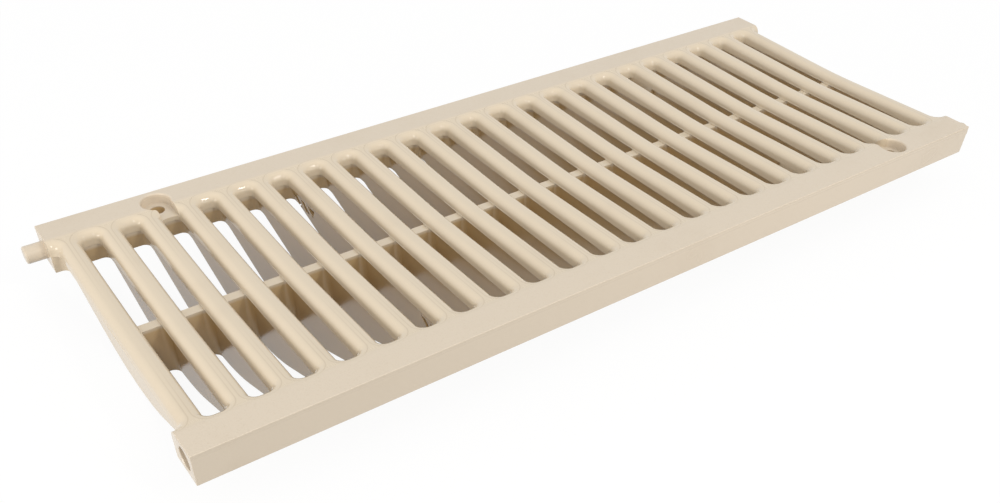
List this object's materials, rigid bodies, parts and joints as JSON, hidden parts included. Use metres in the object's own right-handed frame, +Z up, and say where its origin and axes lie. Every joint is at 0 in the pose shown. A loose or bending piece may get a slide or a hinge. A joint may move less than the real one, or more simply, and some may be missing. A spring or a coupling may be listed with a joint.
{
  "type": "channel drain grate",
  "caption": "Long slotted grate for a floor drain channel: rounded cross bars with fish-belly webs between two rails, end pins and sockets, screw seats.",
  "frame": {"origin": "centre of the plate in plan, on the lowest line of the bars' bellies", "axes": "+X along the drain, +Y across it towards the rail whose left end carries a pin, +Z up, out of the walked-on face"},
  "size_m": [0.6322, 0.235, 0.0442],
  "materials": {
    "beige_plastic": "satin moulded, glossy in the slots"
  },
  "bodies": {
    "root": {"grate": "beige_plastic"}
  },
  "joints": []
}
